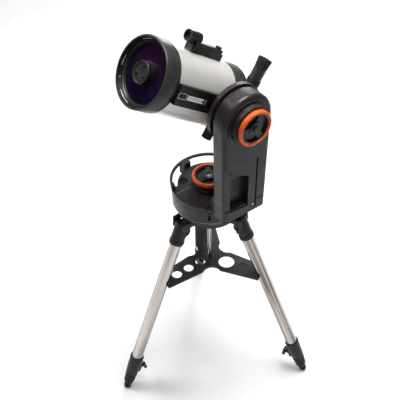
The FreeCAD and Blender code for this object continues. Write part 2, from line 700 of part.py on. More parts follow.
def build_primary():
    """Concave primary mirror on the sliding carrier that runs on the baffle tube."""
    front = "primary_front"
    rear = "primary_front - primary_thick"
    turned("primary_mirror", [
        ("baffle_radius + running_gap", rear + " - 8"), (24, rear + " - 8"), (24, rear),
        ("primary_radius - 14", rear), ("primary_radius", front + " - 8"), ("primary_radius", front),
        (50, front + " - 2.8"), ("baffle_radius + running_gap", front + " - 4.6")], TUBE)


def build_focuser():
    focus = move(x=0, y=-43, z=size("casting_rear - 26"))
    grip = cylinder(11, 20, focus)
    stem = cylinder("4 - running_gap", 52, focus.multiply(move(z=19)))
    keep(fuse(grip, stem), "focus_knob", TUBE)
    hole = cylinder(4, 30, focus.multiply(move(z=20)))
    boss = cylinder(9, 10, focus.multiply(move(z=21)))
    rear = [node for node in nodes if node.Label == "rear_cell"][0]
    nodes.remove(rear)
    place = rear.Placement
    rear.Placement = Place()
    rear.Label = "rear_casting"
    keep(cut(fuse(rear, boss), hole), "rear_cell", place)


def build_visual():
    """Visual back, right-angle diagonal and eyepiece, in tube directions."""
    face = size("casting_rear - 6")
    turned("visual_back", [
        ("barrel_radius + running_gap", face - 14), (21, face - 14), ("visual_radius", face - 11),
        ("visual_radius", face - 4), (30, face - 4), (30, face), ("barrel_radius + running_gap", face)], TUBE)
    mid = face - 32.5
    barrel = cylinder("barrel_radius", 40, move(z=mid + 10))
    housing = block(36, 38, 36, move(y=0, z=mid - 18))
    corner = block(60, 60, 40, Place(V(0, -19, mid - 20), Rot(X_AXIS, 45)).multiply(move(z=-36.5)))
    riser = cylinder(18.5, 30, move(y=16, z=mid, axis=X_AXIS, angle=-90))
    collar = cylinder(21, 12, move(y=38, z=mid, axis=X_AXIS, angle=-90))
    bore = cylinder("barrel_radius + running_gap", 42, move(y=14, z=mid, axis=X_AXIS, angle=-90))
    light = cylinder(13.5, 90, move(z=mid))
    keep(cut(fuse(cut(housing, corner), barrel, riser, collar), bore, light), "diagonal", TUBE)
    sleeve = cylinder("barrel_radius", 30, move(y=22, z=mid, axis=X_AXIS, angle=-90))
    shoulder = cylinder(19.5, 12, move(y=50.4, z=mid, axis=X_AXIS, angle=-90))
    barrel_top = cylinder(18, 44, move(y=60, z=mid, axis=X_AXIS, angle=-90))
    eye_lens = cylinder(12, 20, move(y=98, z=mid, axis=X_AXIS, angle=-90))
    inside = cylinder(13, 26, move(y=20, z=mid, axis=X_AXIS, angle=-90))
    keep(cut(fuse(sleeve, shoulder, barrel_top), eye_lens, inside), "eyepiece", TUBE)
    cup = cone(18, 21, 28, move(y=104, z=mid, axis=X_AXIS, angle=-90))
    cup_bore = cone(14, 18.5, 32, move(y=102, z=mid, axis=X_AXIS, angle=-90))
    seat = cylinder(18, 6, move(y=98, z=mid, axis=X_AXIS, angle=-90))
    keep(cut(cup, cup_bore, seat), "eyecup", TUBE)


def build_finder():
    """Red-dot finder on a short rail above the tube."""
    rail = block(26, 22, 112, move(y=94, z=28))
    seat = cylinder("tube_radius", 300, move(z=-40))
    pivot = cylinder(2.5, 60, move(x=-30, y=100, z=128, axis=Y_AXIS, angle=90))
    keep(cut(rail, seat, pivot), "finder_bracket", TUBE)
    arm = block(20, 9, 118, move(y=109.8, z=32))
    cheeks = [block(4, 22, 16, move(x=side * 15.4, y=104, z=120)) for side in (-1, 1)]
    bridge = block(34.8, 5, 16, move(y=112, z=120))
    tube = cylinder(14.5, 40, move(y=121, z=119))
    window = cylinder(11.5, 60, move(y=121, z=123))
    pin = cylinder(2.5 - 0.05, 36, move(x=-18, y=100, z=128, axis=Y_AXIS, angle=90))
    hole = cylinder(2 + 0.05, 40, move(y=130, z=42, axis=X_AXIS, angle=90))
    keep(cut(fuse(arm, *cheeks, bridge, cut(tube, window), pin), hole), "finder_body", TUBE)
    lens = turned("finder_lens", [(0, 0), (11.5, 0), (11.5, 2.5), (0, 2.5)])
    lens.Placement = TUBE.multiply(move(y=121, z=150))
    stem = cylinder(2, 9, move(y=114.5, z=42, axis=X_AXIS, angle=90))
    head = cylinder(8, 6, move(y=120.5, z=42, axis=X_AXIS, angle=90))
    keep(fuse(stem, head), "finder_knob", TUBE)


# ---------------------------------------------------------------- build and write
build_head()
build_head_bolts()
for leg_key, leg_angle in LEG_ANGLES.items():
    build_leg(leg_key, leg_angle)
build_rod_and_tray()
build_base()
build_arm()
build_saddle()
build_tube()
build_visual()
build_finder()
doc.recompute()

for item in doc.Objects:
    if "Invalid" in item.State or "Error" in item.State:
        raise RuntimeError("%s is %s" % (item.Label, item.State))
for node in nodes:
    if node.Shape.isNull() or not node.Shape.isValid():
        raise RuntimeError(node.Label + " has no valid shape")
for node in nodes:
    node.Shape.exportStep("parts/%s.step" % node.Label)
print("wrote", len(nodes), "sub-parts")
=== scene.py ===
import json
import math
import bmesh
import bpy
from mathutils import Matrix, Vector


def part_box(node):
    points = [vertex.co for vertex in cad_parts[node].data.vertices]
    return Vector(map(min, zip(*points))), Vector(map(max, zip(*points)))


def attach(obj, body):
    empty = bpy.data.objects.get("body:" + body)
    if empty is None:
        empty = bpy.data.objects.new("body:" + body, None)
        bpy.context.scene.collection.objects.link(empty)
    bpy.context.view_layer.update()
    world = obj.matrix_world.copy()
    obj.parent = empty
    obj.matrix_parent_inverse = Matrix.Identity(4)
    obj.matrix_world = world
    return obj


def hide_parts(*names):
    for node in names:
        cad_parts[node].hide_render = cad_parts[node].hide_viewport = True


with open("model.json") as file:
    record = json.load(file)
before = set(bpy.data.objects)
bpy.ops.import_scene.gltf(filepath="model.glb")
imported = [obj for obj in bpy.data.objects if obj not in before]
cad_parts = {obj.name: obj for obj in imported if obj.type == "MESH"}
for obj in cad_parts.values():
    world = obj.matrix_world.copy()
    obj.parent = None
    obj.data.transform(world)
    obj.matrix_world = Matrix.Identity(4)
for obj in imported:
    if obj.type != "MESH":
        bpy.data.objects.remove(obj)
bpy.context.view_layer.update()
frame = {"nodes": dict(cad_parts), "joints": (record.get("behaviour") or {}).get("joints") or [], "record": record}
NODES = frame["nodes"]
JOINTS = {joint["name"]: joint for joint in frame["joints"]}
MM = 0.001
EDGE_RADIUS = 0.0007  # rounding on the edges of every CAD node, in metres
SEAM = 0.00001  # points closer than this are joined, in metres
ROUND_FROM, SHARP_FROM = 38, 35  # degrees between two faces

# ---------------------------------------------------------------- frames of reference
OPTICAL_AXIS = Vector(JOINTS["dovetail_slide"]["axis"]).normalized()
ALTITUDE_POINT = Vector((0, 0, JOINTS["altitude"]["pos_m"][2]))


def basis(origin, x_axis, z_axis):
    """A matrix whose local Z is z_axis and whose local X is as near x_axis as it can be."""
    z_dir = Vector(z_axis).normalized()
    y_dir = z_dir.cross(Vector(x_axis)).normalized()
    x_dir = y_dir.cross(z_dir)
    turn = Matrix((x_dir, y_dir, z_dir)).transposed().to_4x4()
    return Matrix.Translation(origin) @ turn


TUBE = basis(ALTITUDE_POINT, (1, 0, 0), OPTICAL_AXIS)
WORLD = Matrix.Identity(4)
LEGS = "abc"


def leg_frame(key):
    """Local Z up the leg, local X outward, origin where the leg's axis meets the floor."""
    up = -Vector(JOINTS["leg_extend_" + key]["axis"])
    low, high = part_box("leg_foot_" + key)
    near = (low + high) / 2
    rough = basis(near, (near.x, near.y, 0), up)
    low, high = local_extent("leg_inner_" + key, rough)
    centre = rough @ ((low + high) / 2)
    return basis(centre - up * (centre.z / up.z), (centre.x, centre.y, 0), up)


def local_extent(node, matrix):
    """Lowest and highest corner of a node in another frame, in metres."""
    inverse = matrix.inverted()
    points = [inverse @ vertex.co for vertex in NODES[node].data.vertices]
    low = Vector([min(point[axis] for point in points) for axis in range(3)])
    high = Vector([max(point[axis] for point in points) for axis in range(3)])
    return low, high


# ---------------------------------------------------------------- material helpers
class Graph:
    """A material's node tree with short calls for what the finishes share."""

    def __init__(self, name):
        self.material = bpy.data.materials.new(name)
        self.material.use_nodes = True
        self.tree = self.material.node_tree
        self.shader = self.tree.nodes["Principled BSDF"]
        self.place = self.add("ShaderNodeTexCoord").outputs["Object"]

    def add(self, kind, **values):
        node = self.tree.nodes.new(kind)
        for key, value in values.items():
            setattr(node, key, value)
        return node

    def link(self, source, target):
        self.tree.links.new(source, target)

    def noise(self, scale, detail=3.0, stretch=(1, 1, 1)):
        mapping = self.add("ShaderNodeMapping")
        mapping.inputs["Scale"].default_value = stretch
        self.link(self.place, mapping.inputs["Vector"])
        node = self.add("ShaderNodeTexNoise")
        node.inputs["Scale"].default_value = scale
        node.inputs["Detail"].default_value = detail
        self.link(mapping.outputs["Vector"], node.inputs["Vector"])
        return node.outputs["Fac"]

    def ramp(self, source, low, high, start=0.35, end=0.65):
        node = self.add("ShaderNodeMapRange")
        node.inputs["From Min"].default_value = start
        node.inputs["From Max"].default_value = end
        node.inputs["To Min"].default_value = low
        node.inputs["To Max"].default_value = high
        self.link(source, node.inputs["Value"])
        return node.outputs["Result"]

    def blend(self, factor, first, second):
        node = self.add("ShaderNodeMix", data_type="RGBA")
        for socket, value in ((node.inputs[6], first), (node.inputs[7], second)):
            if isinstance(value, tuple):
                socket.default_value = (*value, 1.0)
            else:
                self.link(value, socket)
        self.link(factor, node.inputs[0])
        return node.outputs[2]

    def bump(self, height, strength, distance, before=None):
        node = self.add("ShaderNodeBump")
        node.inputs["Strength"].default_value = strength
        node.inputs["Distance"].default_value = distance
        self.link(height, node.inputs["Height"])
        if before is not None:
            self.link(before, node.inputs["Normal"])
        return node.outputs["Normal"]

    def up_facing(self, low=0.0, high=1.0):
        """How far a surface faces up, for settled dust."""
        geometry = self.add("ShaderNodeNewGeometry")
        split = self.add("ShaderNodeSeparateXYZ")
        self.link(geometry.outputs["Normal"], split.inputs[0])
        return self.ramp(split.outputs["Z"], low, high, 0.55, 1.0)

    def multiply(self, first, second):
        node = self.add("ShaderNodeMath", operation="MULTIPLY")
        self.link(first, node.inputs[0])
        self.link(second, node.inputs[1])
        return node.outputs[0]

    def set(self, **values):
        for key, value in values.items():
            self.shader.inputs[key.replace("_", " ")].default_value = value


def shade(tint, amount):
    return tuple(channel * amount for channel in tint)


def moulded(name, tint, rough, grain=900, grain_depth=0.00012, dust=0.05, specular=0.35):
    """Moulded or painted surface: mottled tone, fine grain, uneven gloss, a little dust."""
    graph = Graph(name)
    mottle = graph.ramp(graph.noise(22, 4), 0.0, 1.0)
    colour = graph.blend(mottle, shade(tint, 0.86), shade(tint, 1.16))
    dusty = graph.multiply(graph.up_facing(0.0, dust), graph.ramp(graph.noise(60, 6), 0.2, 1.0))
    colour = graph.blend(dusty, colour, (0.30, 0.28, 0.26))
    graph.link(colour, graph.shader.inputs["Base Color"])
    graph.link(graph.ramp(graph.noise(45, 5), rough - 0.06, rough + 0.08),
               graph.shader.inputs["Roughness"])
    fine = graph.bump(graph.noise(grain, 2), 0.35, grain_depth)
    graph.link(graph.bump(graph.noise(16, 2), 0.10, 0.0006, fine), graph.shader.inputs["Normal"])
    graph.set(Specular_IOR_Level=specular)
    return graph


def make_arm_plastic():
    return moulded("arm_plastic", (0.0145, 0.0116, 0.0116), 0.36, grain=1100,
                   grain_depth=0.00010, dust=0.03, specular=0.32).material


def make_cast_black():
    return moulded("cast_black", (0.0075, 0.0070, 0.0072), 0.42, grain=700,
                   grain_depth=0.0002, dust=0.04, specular=0.32).material


def make_plastic_black():
    return moulded("plastic_black", (0.0070, 0.0066, 0.0068), 0.34, grain=1300,
                   grain_depth=0.00008, dust=0.03, specular=0.36).material


def make_cell_black():
    return moulded("cell_black", (0.020, 0.0180, 0.0175), 0.36, grain=1500,
                   grain_depth=0.00006, dust=0.03, specular=0.40).material


def make_rim_grey():
    """Anodised rim, a shade lighter than the castings round it."""
    return moulded("rim_grey", (0.046, 0.042, 0.039), 0.34, grain=1500,
                   grain_depth=0.00005, dust=0.02, specular=0.45).material


def make_cell_inner():
    """Flat black paint inside the front cell."""
    return moulded("cell_inner", (0.0030, 0.0028, 0.0032), 0.50, grain=1500,
                   grain_depth=0.00008, dust=0.01, specular=0.14).material


def make_bar_black():
    return moulded("bar_black", (0.0050, 0.0048, 0.0050), 0.34, grain=2000,
                   grain_depth=0.00004, dust=0.02, specular=0.26).material


def make_rubber():
    return moulded("rubber", (0.0090, 0.0088, 0.0086), 0.66, grain=500,
                   grain_depth=0.0003, dust=0.06, specular=0.25).material


def make_orange():
    graph = moulded("orange_grip", (0.64, 0.088, 0.010), 0.36, grain=1400,
                    grain_depth=0.00006, dust=0.01, specular=0.35)
    graph.set(Coat_Weight=0.12, Coat_Roughness=0.25)
    return graph.material


def make_silver():
    """Silver-white satin paint with a faint metallic flake and a few soft rub marks."""
    graph = Graph("tube_silver")
    broad = graph.ramp(graph.noise(9, 3), 0.0, 1.0)
    colour = graph.blend(broad, (0.60, 0.585, 0.56), (0.65, 0.635, 0.61))
    flake = graph.ramp(graph.noise(2600, 1), 0.0, 1.0, 0.45, 0.7)
    colour = graph.blend(graph.multiply(flake, graph.ramp(graph.noise(50, 2), 0.05, 0.16)),
                         colour, (0.74, 0.73, 0.70))
    graph.link(colour, graph.shader.inputs["Base Color"])
    rub = graph.noise(40, 6, (1, 6, 6))
    graph.link(graph.ramp(rub, 0.30, 0.40), graph.shader.inputs["Roughness"])
    graph.link(graph.bump(graph.noise(1800, 2), 0.12, 0.00005), graph.shader.inputs["Normal"])
    graph.set(Metallic=0.45, Coat_Weight=0.20, Coat_Roughness=0.18)
    return graph.material


def make_steel(name, matrix):
    """Drawn stainless tube: long dark brownish streaks along its own axis, painted into the colour as a painted
    reflection of dark surroundings, and fine drawing lines along its axis.
    """
    graph = Graph(name)
    turn = graph.add("ShaderNodeMapping", vector_type="POINT")
    turn.inputs["Rotation"].default_value = matrix.inverted().to_euler()
    graph.link(graph.place, turn.inputs["Vector"])
    graph.place = turn.outputs["Vector"]
    # painted reflection: lengthwise dark brownish streaks in the base colour stand in for dark surroundings
    # mirrored in the steel
    painted_reflection_streaks = graph.ramp(graph.noise(75, 2, (1, 1, 0.012)), 0.0, 1.0, 0.43, 0.56)
    colour = graph.blend(painted_reflection_streaks, (0.115, 0.092, 0.083), (0.57, 0.525, 0.49))
    smear = graph.ramp(graph.noise(9, 4, (1, 1, 0.4)), 0.0, 0.35)
    colour = graph.blend(smear, colour, (0.66, 0.62, 0.59))
    graph.link(colour, graph.shader.inputs["Base Color"])
    lines = graph.noise(320, 2, (1, 1, 0.03))
    graph.link(graph.ramp(lines, 0.15, 0.28), graph.shader.inputs["Roughness"])
    graph.link(graph.bump(lines, 0.10, 0.00006), graph.shader.inputs["Normal"])
    graph.set(Metallic=1.0)
    return graph.material


def make_metal(name, tint, rough):
    """Machined metal with turning marks and patchy tarnish."""
    graph = Graph(name)
    patch = graph.ramp(graph.noise(120, 4), 0.0, 1.0)
    graph.link(graph.blend(patch, shade(tint, 0.72), tint), graph.shader.inputs["Base Color"])
    marks = graph.noise(1500, 2, (1, 1, 0.2))
    graph.link(graph.ramp(marks, rough - 0.05, rough + 0.10), graph.shader.inputs["Roughness"])
    graph.link(graph.bump(marks, 0.2, 0.00005), graph.shader.inputs["Normal"])
    graph.set(Metallic=1.0)
    return graph.material


def make_mirror():
    graph = Graph("mirror")
    haze = graph.ramp(graph.noise(30, 5), 0.0, 1.0)
    graph.link(graph.blend(haze, (0.86, 0.87, 0.88), (0.93, 0.93, 0.94)),
               graph.shader.inputs["Base Color"])
    graph.link(graph.ramp(graph.noise(80, 4), 0.015, 0.05), graph.shader.inputs["Roughness"])
    graph.set(Metallic=1.0)
    return graph.material


def make_corrector():
    """Coated corrector glass: deep violet towards the top and blue-black lower down, mottled by noise; the violet
    top is a painted reflection of the light from above.
    """
    graph = Graph("corrector_glass")
    split = graph.add("ShaderNodeSeparateXYZ")
    graph.link(graph.place, split.inputs[0])
    low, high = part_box("corrector_plate")
    # painted reflection: the glass colour goes from blue-black to violet with height, where the overhead light
    # would reflect
    painted_top_reflection = graph.ramp(split.outputs["Z"], 0.0, 1.0, low.z, high.z)
    patch = graph.multiply(painted_top_reflection, graph.ramp(graph.noise(7, 2), 0.5, 1.0))
    colour = graph.blend(patch, (0.0040, 0.0035, 0.0130), (0.022, 0.0050, 0.024))
    graph.link(colour, graph.shader.inputs["Base Color"])
    graph.link(graph.ramp(graph.noise(25, 4), 0.04, 0.08), graph.shader.inputs["Roughness"])
    graph.set(IOR=1.5, Specular_IOR_Level=0.22, Alpha=0.90)
    graph.shader.inputs["Specular Tint"].default_value = (0.70, 0.30, 0.85, 1.0)
    return graph.material


def make_lens():
    graph = Graph("small_lens")
    patch = graph.ramp(graph.noise(90, 2), 0.0, 1.0)
    graph.link(graph.blend(patch, (0.03, 0.008, 0.010), (0.05, 0.012, 0.02)),
               graph.shader.inputs["Base Color"])
    graph.link(graph.ramp(graph.noise(300, 2), 0.03, 0.07), graph.shader.inputs["Roughness"])
    graph.set(Coat_Weight=0.8, Coat_Roughness=0.03, IOR=1.6)
    return graph.material


def make_print():
    """Screen-printed off-white ink."""
    graph = Graph("print_white")
    patch = graph.ramp(graph.noise(400, 4), 0.0, 1.0)
    graph.link(graph.blend(patch, (0.60, 0.60, 0.60), (0.78, 0.78, 0.77)),
               graph.shader.inputs["Base Color"])
    graph.link(graph.ramp(graph.noise(700, 3), 0.42, 0.58), graph.shader.inputs["Roughness"])
    return graph.material


MATERIALS = {
    "arm_plastic": make_arm_plastic(),
    "cast_black": make_cast_black(),
    "plastic_black": make_plastic_black(),
    "cell_black": make_cell_black(),
    "cell_inner": make_cell_inner(),
    "rim_grey": make_rim_grey(),
    "bar_black": make_bar_black(),
    "rubber": make_rubber(),
    "orange_grip": make_orange(),
    "tube_silver": make_silver(),
    "steel_tube": make_steel("steel_tube", Matrix.Identity(4)),
    "steel_part": make_metal("steel_part", (0.55, 0.54, 0.53), 0.28),
    # edge_light is pale metal, also used for the painted highlight strips along the base's edges
    "edge_light": make_metal("edge_light", (0.46, 0.46, 0.47), 0.30),
    "dark_steel": make_metal("dark_steel", (0.10, 0.098, 0.096), 0.34),
    "gear_brass": make_metal("gear_brass", (0.72, 0.50, 0.22), 0.30),
    "mirror": make_mirror(),
    "corrector_glass": make_corrector(),
    "small_lens": make_lens(),
    "print_white": make_print(),
}
for leg_key in LEGS:
    MATERIALS["steel_leg_" + leg_key] = make_steel("steel_leg_" + leg_key, leg_frame(leg_key))
SLOT_OF_NODE = {entry["node"]: entry["material_slot"] for entry in frame["record"]["subparts"]}
OTHER_FINISH = {"secondary_housing": "plastic_black", "finder_lens": "small_lens"}


def dress_nodes():
    """Every CAD node gets its finish, welded seams, a small edge radius and smooth shading."""
    for name, item in NODES.items():
        item.data.materials.clear()
        finish = OTHER_FINISH.get(name, SLOT_OF_NODE[name])
        if name.startswith(("leg_tube_", "leg_inner_")):
            finish = "steel_leg_" + name[-1]
        item.data.materials.append(MATERIALS[finish])
        soften(item, EDGE_RADIUS)


def soften(item, width, segments=2, weld=True):
    """Edge radius by modifier, with clean normals."""
    item.data.shade_smooth()
    if item.data.has_custom_normals:
        for attribute in [a for a in item.data.attributes if a.name == "custom_normal"]:
            item.data.attributes.remove(attribute)
    if weld:
        joined = item.modifiers.new("Weld", "WELD")
        joined.merge_threshold = SEAM
    bevel = item.modifiers.new("Bevel", "BEVEL")
    bevel.width = width
    bevel.segments = segments
    bevel.limit_method = "ANGLE"
    bevel.angle_limit = math.radians(ROUND_FROM)
    bevel.use_clamp_overlap = True
    bevel.harden_normals = True
    bevel.miter_outer = "MITER_ARC"


# ---------------------------------------------------------------- mesh helpers
def finish_piece(mesh, name, matrix, material, body, bevel=0.0, replaces=()):
    """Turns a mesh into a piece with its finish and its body."""
    mesh.normal_update()
    bmesh.ops.recalc_face_normals(mesh, faces=mesh.faces)
    data = bpy.data.meshes.new(name)
    mesh.to_mesh(data)
    mesh.free()
    data.transform(matrix)
    piece = bpy.data.objects.new(name, data)
    bpy.context.scene.collection.objects.link(piece)
    data.materials.append(MATERIALS[material])
    data.shade_smooth()
    if bevel:
        soften(piece, bevel, 3, weld=False)
    else:
        piece.data.set_sharp_from_angle(angle=math.radians(SHARP_FROM))
    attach(piece, body)
    for node in replaces:
        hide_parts(node)
    return piece


def lathe(mesh, outline, steps=96, start=0.0, sweep=360.0, matrix=None):
    """Turns a closed (radius, height) outline in millimetres about Z."""
    at = matrix or Matrix.Identity(4)
    whole = sweep >= 359.99
    count = steps if whole else steps + 1
    rings = []
    for index in range(count):
        angle = math.radians(start + sweep * index / steps)
        turn = (math.cos(angle), math.sin(angle))
        ring = []
        for radius, height in outline:
            point = Vector((radius * turn[0] * MM, radius * turn[1] * MM, height * MM))
            ring.append(mesh.verts.new(at @ point))
        rings.append(ring)
    points = len(outline)
    for index in range(steps):
        first, second = rings[index], rings[(index + 1) % count]
        for point in range(points):
            after = (point + 1) % points
            mesh.faces.new((first[point], second[point], second[after], first[after]))
    if not whole:
        mesh.faces.new(rings[0])
        mesh.faces.new(list(reversed(rings[-1])))
    bmesh.ops.remove_doubles(mesh, verts=mesh.verts, dist=1e-7)
    bmesh.ops.dissolve_degenerate(mesh, edges=mesh.edges, dist=1e-7)


def slab(mesh, outline, low, high, matrix=None):
    """A straight solid over an outline of (x, y) pairs in millimetres."""
    at = matrix or Matrix.Identity(4)
    bottom = [mesh.verts.new(at @ Vector((x * MM, y * MM, low * MM))) for x, y in outline]
    top = [mesh.verts.new(at @ Vector((x * MM, y * MM, high * MM))) for x, y in outline]
    count = len(outline)
    mesh.faces.new(list(reversed(bottom)))
    mesh.faces.new(top)
    for index in range(count):
        after = (index + 1) % count
        mesh.faces.new((bottom[index], bottom[after], top[after], top[index]))


def rounded(width, depth, radius, steps=5):
    """Outline of a rounded rectangle about the origin, in millimetres."""
    points = []
    for corner, (sx, sy) in enumerate(((1, 1), (-1, 1), (-1, -1), (1, -1))):
        for step in range(steps + 1):
            angle = math.radians(90 * corner + 90 * step / steps)
            x = sx * (width / 2 - radius) + radius * math.cos(angle)
            y = sy * (depth / 2 - radius) + radius * math.sin(angle)
            points.append((x, y))
    return points


def band(mesh, outer, inner, low, high, matrix):
    """A flat frame between two outlines with the same number of points, in millimetres."""
    rings = []
    for outline, height in ((outer, low), (outer, high), (inner, high), (inner, low)):
        rings.append([mesh.verts.new(matrix @ Vector((x * MM, y * MM, height * MM)))
                      for x, y in outline])
    count = len(outer)
    for ring, follower in zip(rings, rings[1:] + rings[:1]):
        for index in range(count):
            after = (index + 1) % count
            mesh.faces.new((ring[index], ring[after], follower[after], follower[index]))


TURN_FLAT = Matrix.Rotation(math.radians(90), 4, "Z")


def lobed(radius, depth, lobes, steps=8):
    """Outline of a grip with scallops between its lobes, in millimetres."""
    points = []
    count = lobes * steps
    for index in range(count):
        angle = 2 * math.pi * index / count
        reach = radius - depth * (0.5 - 0.5 * math.cos(angle * lobes)) ** 2
        points.append((reach * math.cos(angle), reach * math.sin(angle)))
    return points


def at(x=0.0, y=0.0, z=0.0, axis=None, angle=0.0):
    """A shift in millimetres, then a turn in degrees."""
    shift = Matrix.Translation((x * MM, y * MM, z * MM))
    if axis is None:
        return shift
    return shift @ Matrix.Rotation(math.radians(angle), 4, axis)


def screw_head(mesh, matrix, radius=2.4, height=1.4, socket=True):
    """A small cap screw with a hexagon socket."""
    outline = [(0, 0), (radius, 0), (radius, height * 0.75), (radius * 0.88, height)]
    if socket:
        outline += [(radius * 0.5, height), (radius * 0.45, height * 0.35), (0, height * 0.35)]
    else:
        outline += [(0, height)]
    lathe(mesh, outline, 18, matrix=matrix)


# ---------------------------------------------------------------- optical tube details
def optical_extent():
    _, high = local_extent("front_cell", TUBE)
    return high.z / MM, high.x / MM


CELL_FRONT, CELL_RADIUS = optical_extent()
GLASS = local_extent("corrector_plate", TUBE)[1].z / MM
HOUSING_RADIUS = local_extent("secondary_housing", TUBE)[1].x / MM - 2.5
BEVEL_OUTER, BEVEL_INNER = CELL_RADIUS - 5.9, CELL_RADIUS - 12.6
BEVEL_FRONT, BEVEL_BACK = CELL_FRONT - 0.1, GLASS + 4.6


def make_cell_ring():
    """Flat black bevel ring inside the front cell, with its retaining screws."""
    mesh = bmesh.new()
    outer = CELL_RADIUS - 5.0
    inner = CELL_RADIUS - 16.0
    lathe(mesh, [
        (outer - 0.4, BEVEL_FRONT), (BEVEL_OUTER, BEVEL_FRONT), (BEVEL_INNER, BEVEL_BACK),
        (inner + 0.6, GLASS + 2.4), (inner + 0.2, GLASS + 0.5), (inner - 1.2, GLASS + 0.5),
        (inner - 1.2, GLASS + 0.15), (inner + 2.8, GLASS + 0.15),
        (outer - 0.4, CELL_FRONT - 1.4)], 144)
    finish_piece(mesh, "front_cell_bevel", TUBE, "cell_inner", "optical_tube")
    mesh = bmesh.new()
    for index in range(6):
        turn = Matrix.Rotation(math.radians(60 * index + 12), 4, "Z")
        screw_head(mesh, turn @ at(inner + 1.0, 0, GLASS + 2.6), 1.5, 0.8)
    finish_piece(mesh, "retaining_screws", TUBE, "dark_steel", "optical_tube")


def bevel_point(part):
    """A point on the cell's inner bevel: 0 at the front edge, 1 at the glass end."""
    radius = BEVEL_OUTER + (BEVEL_INNER - BEVEL_OUTER) * part
    height = BEVEL_FRONT + (BEVEL_BACK - BEVEL_FRONT) * part
    return radius, height


# middle and span in degrees, then the two edges as places on the bevel
BEVEL_ARCS = (
    (112, 17, 0.38, 0.52), (124, 3, 0.36, 0.54), (183, 20, 0.45, 0.50),
    (213, 0.8, 0.38, 0.55), (252, 32, 0.44, 0.50))


def make_bevel_marks():
    """Plain printed arcs on the bevel, in place of lettering."""
    mesh = bmesh.new()
    raised, buried = 0.12, 0.25
    for middle, span, low, high in BEVEL_ARCS:
        first, second = bevel_point(low), bevel_point(high)
        lathe(mesh, [
            (first[0] - raised, first[1] + 0.02), (second[0] - raised, second[1] + 0.02),
            (second[0] + buried, second[1]), (first[0] + buried, first[1])],
            24, middle - span / 2, span)
    finish_piece(mesh, "bevel_marks", TUBE, "print_white", "optical_tube")


def make_secondary():
    """Rim and screws of the secondary mirror's housing."""
    mesh = bmesh.new()
    lathe(mesh, [
        (HOUSING_RADIUS - 0.6, CELL_FRONT - 0.9), (HOUSING_RADIUS - 1.2, CELL_FRONT - 0.15),
        (HOUSING_RADIUS - 3.0, CELL_FRONT - 0.05), (HOUSING_RADIUS - 4.2, CELL_FRONT - 0.4),
        (HOUSING_RADIUS - 4.3, CELL_FRONT - 2.4), (HOUSING_RADIUS - 3.6, CELL_FRONT - 2.4)], 96)
    finish_piece(mesh, "secondary_rim", TUBE, "rim_grey", "optical_tube")
    mesh = bmesh.new()
    for angle in (90, 210, 330):
        turn = Matrix.Rotation(math.radians(angle), 4, "Z")
        screw_head(mesh, turn @ at(15, 0, CELL_FRONT - 2.95), 3.0, 1.9)
    finish_piece(mesh, "collimation_heads", TUBE, "cell_inner", "optical_tube",
                 replaces=["collimation_screws"])


def make_tube_trim():
    """Thin bands and small screws where the tube meets its castings."""
    tube_radius = local_extent("tube_shell", TUBE)[1].x / MM
    rear_edge = local_extent("tube_shell", TUBE)[0].z / MM
    cell_rear = local_extent("front_cell", TUBE)[0].z / MM
    mesh = bmesh.new()
    lathe(mesh, [
        (tube_radius - 0.4, rear_edge + 0.1), (tube_radius + 0.5, rear_edge + 0.1),
        (tube_radius + 0.5, rear_edge + 2.6), (tube_radius - 0.4, rear_edge + 2.9)], 144)
    lathe(mesh, [
        (tube_radius - 0.4, cell_rear - 1.6), (tube_radius + 0.4, cell_rear - 1.2),
        (tube_radius + 0.4, cell_rear - 0.1), (tube_radius - 0.4, cell_rear - 0.1)], 144)
    finish_piece(mesh, "tube_bands", TUBE, "cell_black", "optical_tube")
    mesh = bmesh.new()
    for index in range(8):
        turn = Matrix.Rotation(math.radians(45 * index + 22), 4, "Z")
        radial = at(tube_radius + 0.35, 0, rear_edge - 12, "Y", 90)
        screw_head(mesh, turn @ radial, 2.2, 0.9)
        front = at(CELL_RADIUS - 0.6, 0, cell_rear + 7, "Y", 90)
        screw_head(mesh, turn @ front, 2.0, 0.55)
    finish_piece(mesh, "tube_screws", TUBE, "dark_steel", "optical_tube")


def make_bar_label():
    """Plain strips, a short mark and an empty frame on the dovetail bar, in place of a badge."""
    _, high = local_extent("dovetail_bar", TUBE)
    face, front = high.x / MM, high.z / MM
    raised, row_pitch, row_width = 0.3, 4.4, 3.6
    mesh = bmesh.new()
    for row, length in enumerate((56, 52, 56)):
        place = at(face, row_pitch - row_pitch * row, front - 34 - length / 2, "Y", 90)
        slab(mesh, rounded(length, row_width, 0.9), 0, raised, place)
    slab(mesh, rounded(1.2, 13, 0.5), 0, raised, at(face, 0, front - 97, "Y", 90))
    band(mesh, rounded(27, 15, 2.0), rounded(25.4, 13.4, 1.4), 0, raised,
         at(face, 0, front - 17, "Y", 90))
    finish_piece(mesh, "bar_label", TUBE, "print_white", "optical_tube")
    mesh = bmesh.new()
    for station in (front - 9, 82):
        for side in (-1, 1):
            screw_head(mesh, at(face, side * 18, station, "Y", 90), 2.6, 0.8)
    finish_piece(mesh, "bar_screws", TUBE, "dark_steel", "optical_tube")


# ---------------------------------------------------------------- eyepiece, finder and knobs
def span_of(node, matrix):
    """Centre, radius across local X, and the local extent of a node, in millimetres."""
    low, high = local_extent(node, matrix)
    middle = (low + high) / 2 / MM
    return middle, (high.x - low.x) / 2 / MM, low / MM, high / MM


def ribs(mesh, radius, start, pitch, count, width=1.3, stand=0.7):
    """Rings that stand off a round grip, in millimetres."""
    for index in range(count):
        low = start + pitch * index
        lathe(mesh, [
            (radius - 0.3, low), (radius + stand * 0.6, low),
            (radius + stand, low + width * 0.35), (radius + stand, low + width * 0.65),
            (radius + stand * 0.6, low + width), (radius - 0.3, low + width)], 64)


